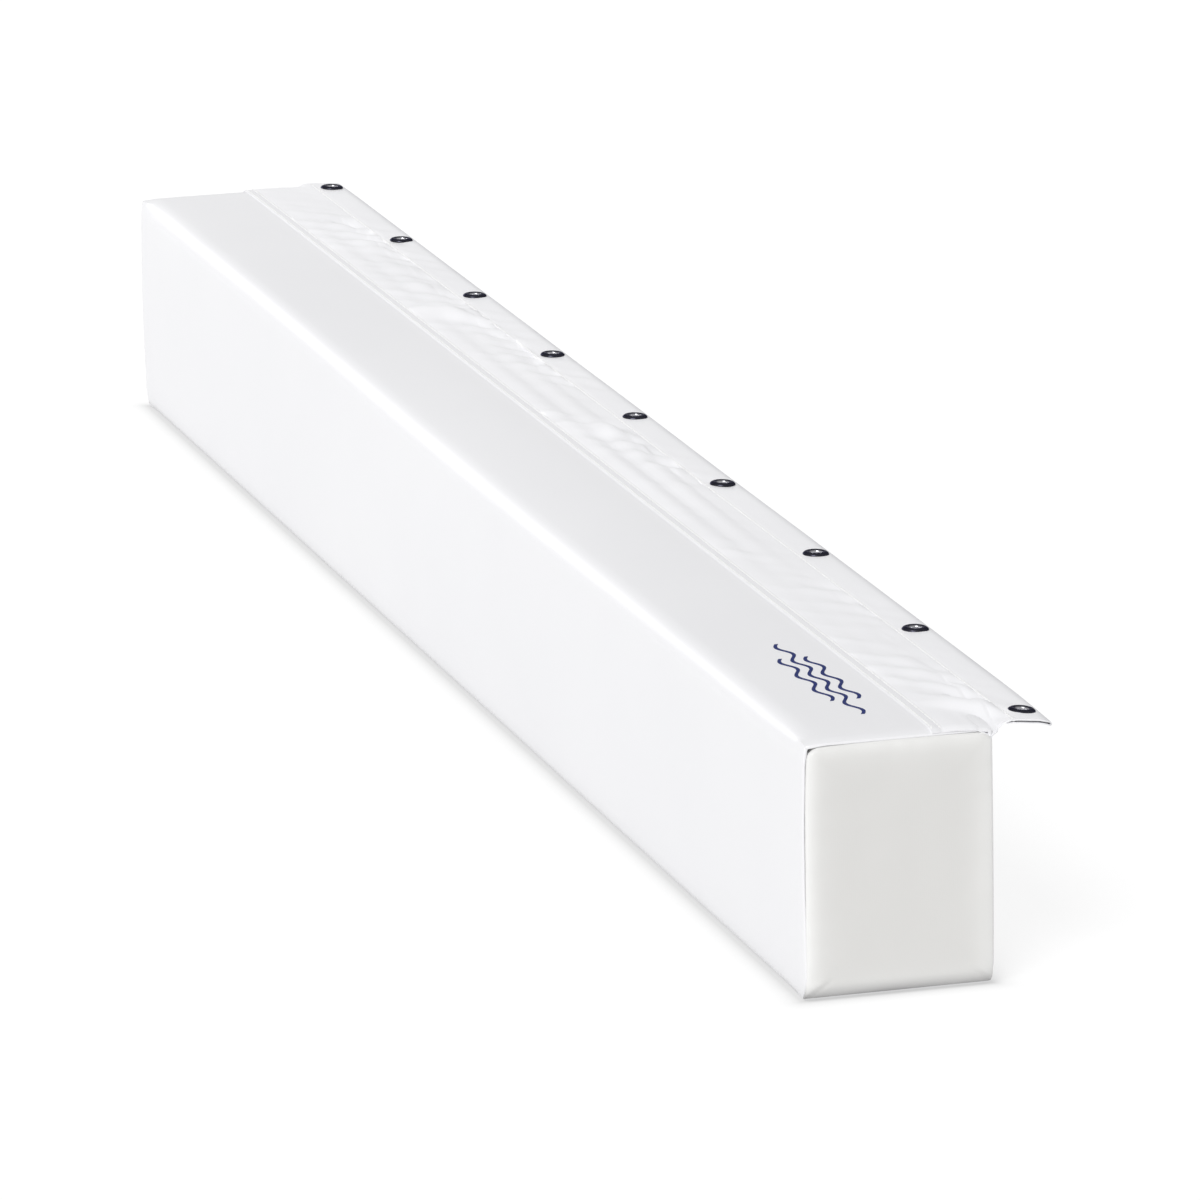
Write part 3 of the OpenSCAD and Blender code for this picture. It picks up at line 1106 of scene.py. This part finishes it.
def endPaint():
    # painted shade: the cover's white vinyl painted greyer in the middle, where the ends get less light,
    # inside a paler rounded border painted as the light on its rolled edges
    finish = finishes["end"]
    paint, base = vinylPaint("shadedEndVinyl", finish)
    across = paint.distance("Y", middleY) * (2 / width)
    up = paint.distance("Z", middleZ) * (2 / topZ)
    border = paint.calc("MAXIMUM", across ** 7, up ** 9)
    wander = paint.noise(24, 3)
    amount = paint.calc("MINIMUM", border * (0.7 + wander * 0.7), 1.0)
    withLitBorder = paint.blend(amount, base, finish["border"])
    # painted shadow along the bottom, where the panel rolls under towards the floor
    low = paint.calc("MAXIMUM", 1 - paint.axis("Z") * (1 / finish["bottomShadowHeight"]), 0.0)
    paintedBottomShadow = paint.calc("MINIMUM", low * low * (0.7 + wander * 0.6), 1.0)
    paint.set("Base Color", paint.blend(paintedBottomShadow, withLitBorder, finish["paintedBottomShadow"]))
    return paint.material


def stripPaint():
    # a painted highlight: the vinyl is paler in a ring round each grommet
    finish = finishes["strip"]
    paint, base = vinylPaint("stripVinyl", finish)
    pitch = grommetSpots[1].x - grommetSpots[0].x
    wrapped = {0: paint.axis("X"), 1: pitch / 2, 2: -pitch / 2}
    along = paint.add("ShaderNodeMath", {"operation": "WRAP"}, wrapped, "Value")
    across = paint.axis("Y") - grommetY
    fromHole = (along * along + across * across) ** 0.5
    offRing = paint.calc("ABSOLUTE", (fromHole - 10.3 * mm) * (1 / (1.5 * mm)), 0.0)
    ring = paint.calc("MAXIMUM", 1 - offRing, 0.0)
    withHighlightRing = paint.blend(ring, base, finish["ring"])
    # painted shade between and beside the two rows of the seam
    offSeam = paint.distance("Y", (innerRowY + outerRowY) / 2) * (1 / (4.4 * mm))
    seam = paint.calc("MAXIMUM", 1 - offSeam ** 6, 0.0)
    withSeamShade = paint.blend(seam * 0.7, withHighlightRing, finish["seam"])
    # and painted shade greys it towards its outer edge, where the edge curls down
    edgeShadeStart = flapHigh.y - finish["edgeShadeWidth"]
    outer = paint.calc("MAXIMUM", (paint.axis("Y") - edgeShadeStart) * (1 / finish["edgeShadeWidth"]), 0.0)
    paintedEdgeShade = paint.calc("MINIMUM", outer * outer * (0.5 + paint.noise(14, 3)), 1.0)
    paint.set("Base Color", paint.blend(paintedEdgeShade, withSeamShade, finish["paintedEdgeShade"]))
    return paint.material


def threadPaint():
    # plied thread: diagonal twists along the row
    paint = Paint("whiteThread", Specular_IOR_Level=0.35)
    lay = paint.axis("X") + paint.axis("Y") * 0.8 + paint.axis("Z") * 0.8
    twist = paint.wave(lay, 0.62 * mm)
    paint.twoTone(twist, finishes["thread"])
    paint.set("Roughness", 0.62 - twist * 0.1)
    paint.relief(twist, 0.12 * mm, 0.8)
    return paint.material


def foamPaint():
    paint = Paint("closedCellFoam", Specular_IOR_Level=0.3)
    cells = paint.cells(520, "F1")
    paint.twoTone(cells, finishes["foam"])
    paint.set("Roughness", 0.75 + paint.noise(90) * 0.15)
    paint.relief(cells, 0.5 * mm, 0.8)
    return paint.material


def webbingPaint():
    paint = Paint("wovenWebbing", Specular_IOR_Level=0.3)
    over, under = paint.wave(paint.axis("X"), 1.6 * mm), paint.wave(paint.axis("Y"), 1.1 * mm)
    weave = over * under + (1 - over) * (1 - under)
    paint.twoTone(weave, finishes["webbing"])
    paint.set("Roughness", 0.7 + weave * 0.1)
    paint.relief(weave, 0.3 * mm, 0.8)
    return paint.material


def grommetPaint():
    # black nickel, with the barrel's inside left bright
    finish = finishes["metal"]
    paint = Paint("blackNickel", Metallic=1.0, Specular_Tint=finish["rim"])
    throat = paint.add("ShaderNodeAttribute", {"attribute_name": "throat"}, {}, "Fac")
    handling = paint.noise(210, 4)
    dark = paint.blend(handling, finish["shade"], finish["light"])
    paint.set("Base Color", paint.blend(throat, dark, finish["throat"]))
    paint.set("Roughness", 0.2 + handling * 0.14)
    paint.relief(paint.noise(900, 3), 0.02 * mm, 0.5)
    return paint.material


def printPaint():
    paint = Paint("navyFilm", Specular_IOR_Level=0.1)
    patch = paint.noise(130, 3)
    paint.twoTone(patch, finishes["print"])
    paint.set("Roughness", 0.5 + patch * 0.12)
    paint.relief(paint.cells(1150), 0.04 * mm, 0.5)
    return paint.material


def floorPaint():
    # a lit white table: mostly its own light, which fades close beside the block as a painted contact
    # shadow
    finish = finishes["floor"]
    paint = Paint("paleFloor", Specular_IOR_Level=0.0, Emission_Strength=finish["glow"])
    paint.twoTone(paint.noise(1.5), finish)
    paint.set("Roughness", 0.9)
    pastEnd = paint.calc("MAXIMUM", paint.distance("X", 0) - (endX - 6 * mm), 0.0)
    pastSide = paint.calc("MAXIMUM", paint.distance("Y", middleY) - width / 2, 0.0)
    away = (pastEnd * pastEnd + pastSide * pastSide) ** 0.5
    close = paint.calc("EXPONENT", away * (-1 / (7 * mm)), 0.0)
    wide = paint.calc("EXPONENT", away * (-1 / (40 * mm)), 0.0)
    shade = paint.calc("MINIMUM", close * finish["closeShade"] + wide * finish["wideShade"], 1.0)
    paint.set("Emission Color", paint.blend(shade, colour(1, 1, 1), colour(0, 0, 0)))
    return paint.material


# floor, light and camera

studio = {
    "sky": 0.5,
    "key": 1.8,
    "keyDirection": (-0.30, 0.27, -0.44),
    "keySoftness": 28,
    "cameraPlace": (6.423, -1.7797, 1.7258),
    "cameraTarget": (0.8266, -0.1918, 0.2564),
    "cameraRoll": -1.03,
    "lens": 280,
}
# two cards beyond the far end give the vinyl its sheen, and a small one shows in the metal
cards = {
    "backWall": {"place": (-4.6, 0.3, 1.3), "target": (0, 0, 0.2), "size": (5.5, 2.2), "power": 14},
    "edgeSheen": {"place": (-4.2, -1.15, 1.2), "target": (0, 0, 0.2), "size": (1.0, 0.6), "power": 16},
    "spark": {"place": (1.0, -3.4, 1.6), "target": (0.2, 0, 0.17), "size": (0.5, 0.5), "power": 2},
}


def areaLight(name, place, target, size, power):
    lamp = bpy.data.objects.new(name, bpy.data.lights.new(name, "AREA"))
    bpy.context.collection.objects.link(lamp)
    lamp.data.shape, lamp.data.size, lamp.data.size_y = "RECTANGLE", size[0], size[1]
    lamp.data.energy = power
    lamp.location = place
    lamp.rotation_euler = (Vector(target) - Vector(place)).to_track_quat("-Z", "Y").to_euler()


def makeStudio():
    deselectAll()
    bpy.ops.mesh.primitive_plane_add(size=60, location=(0, 0, -0.4 * mm))
    floor = settle(bpy.context.object, "floor")
    floor.data.materials.append(floorPaint())
    scene = bpy.context.scene
    scene.view_settings.view_transform = "Standard"
    world = bpy.data.worlds.new("softRoom")
    world.use_nodes = True
    world.node_tree.nodes["Background"].inputs["Color"].default_value = colour(1, 1, 1)
    world.node_tree.nodes["Background"].inputs["Strength"].default_value = studio["sky"]
    scene.world = world
    key = bpy.data.objects.new("softKey", bpy.data.lights.new("softKey", "SUN"))
    bpy.context.collection.objects.link(key)
    key.rotation_euler = Vector(studio["keyDirection"]).to_track_quat("-Z", "Y").to_euler()
    key.data.energy = studio["key"]
    key.data.angle = math.radians(studio["keySoftness"])
    for name, card in cards.items():
        areaLight(name, **card)
    camera = bpy.data.objects.new("camera", bpy.data.cameras.new("camera"))
    bpy.context.collection.objects.link(camera)
    place, target = Vector(studio["cameraPlace"]), Vector(studio["cameraTarget"])
    aim = (target - place).to_track_quat("-Z", "Y").to_matrix().to_4x4()
    roll = Matrix.Rotation(math.radians(studio["cameraRoll"]), 4, "Z")
    camera.matrix_world = Matrix.Translation(place) @ aim @ roll
    camera.data.sensor_width = 36
    camera.data.lens = studio["lens"]
    camera.data.clip_end = 100
    scene.camera = camera


# building

coverVinyl, stripVinyl, shadedEndVinyl = coverPaint(), stripPaint(), endPaint()
thread, foam, webbing = threadPaint(), foamPaint(), webbingPaint()
metal, film = grommetPaint(), printPaint()


def dress(obj, body, slotName, material, *nodes):
    obj.data.materials.clear()
    obj.data.materials.append(material)
    if body:
        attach(obj, body)
    if nodes:
        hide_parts(*nodes)


makeStudio()
print("studio ready")

cover = makeCover()
dress(cover, "bumper", "cover_vinyl", coverVinyl, "cover_wrap")
print("cover made:", len(cover.data.polygons), "faces")

lowerFoam = makeFoam("lowerFoam", 0, middleZ)
dress(lowerFoam, "bumper", "foam", foam, "foam_plank_lower")
upperFoam = makeFoam("upperFoam", middleZ, topZ)
dress(upperFoam, "bumper", "foam", foam, "foam_plank_upper")

for side, end in ((-1, "left"), (1, "right")):
    panel = makeEndPanel(end + "EndPanel", side)
    dress(panel, "bumper", "end_vinyl", shadedEndVinyl, "end_panel_" + end)
    ring = frame["nodes"]["end_thread_" + end]
    ring.data.materials.clear()
    ring.data.materials.append(thread)
print("end panels made")

sheet = makeFlapSheet()
sheetSurface = surfaceOf(sheet)
print("flap sheet made:", len(sheet.data.polygons), "faces")

for name, rowY, side, body, nodes in (
        ("innerSeamStitches", innerRowY, 1, "bumper", ["seam_thread_inner"]),
        ("outerSeamStitches", outerRowY, 1, "bumper", ["seam_thread_outer"]),
        ("hemStitchesTop", hemRowY, 1, "flap", ["hem_thread"]),
        ("hemStitchesUnder", hemRowY, -1, "flap", ["hem_thread"])):
    row = layStitches(name, sheetSurface, rowY, side)
    dress(row, body, "thread", thread, *nodes)
print("stitches laid")

dress(sheet, None, "strip_vinyl", stripVinyl, "top_strip", "flap_sheet")
sheetWidth()
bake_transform(sheet)

tape = makeWebbing()
dress(tape, "flap", "webbing", webbing, "hem_webbing")

for i, (eyelet, washer) in enumerate(makeGrommets()):
    dress(eyelet, "flap", "black_nickel", metal, f"grommet_{i + 1}")
    dress(washer, "flap", "black_nickel", metal, f"grommet_washer_{i + 1}")
print("grommets set")

waves = makePrint(surfaceOf(cover))
dress(waves, "bumper", "print_film", film, "wave_print")
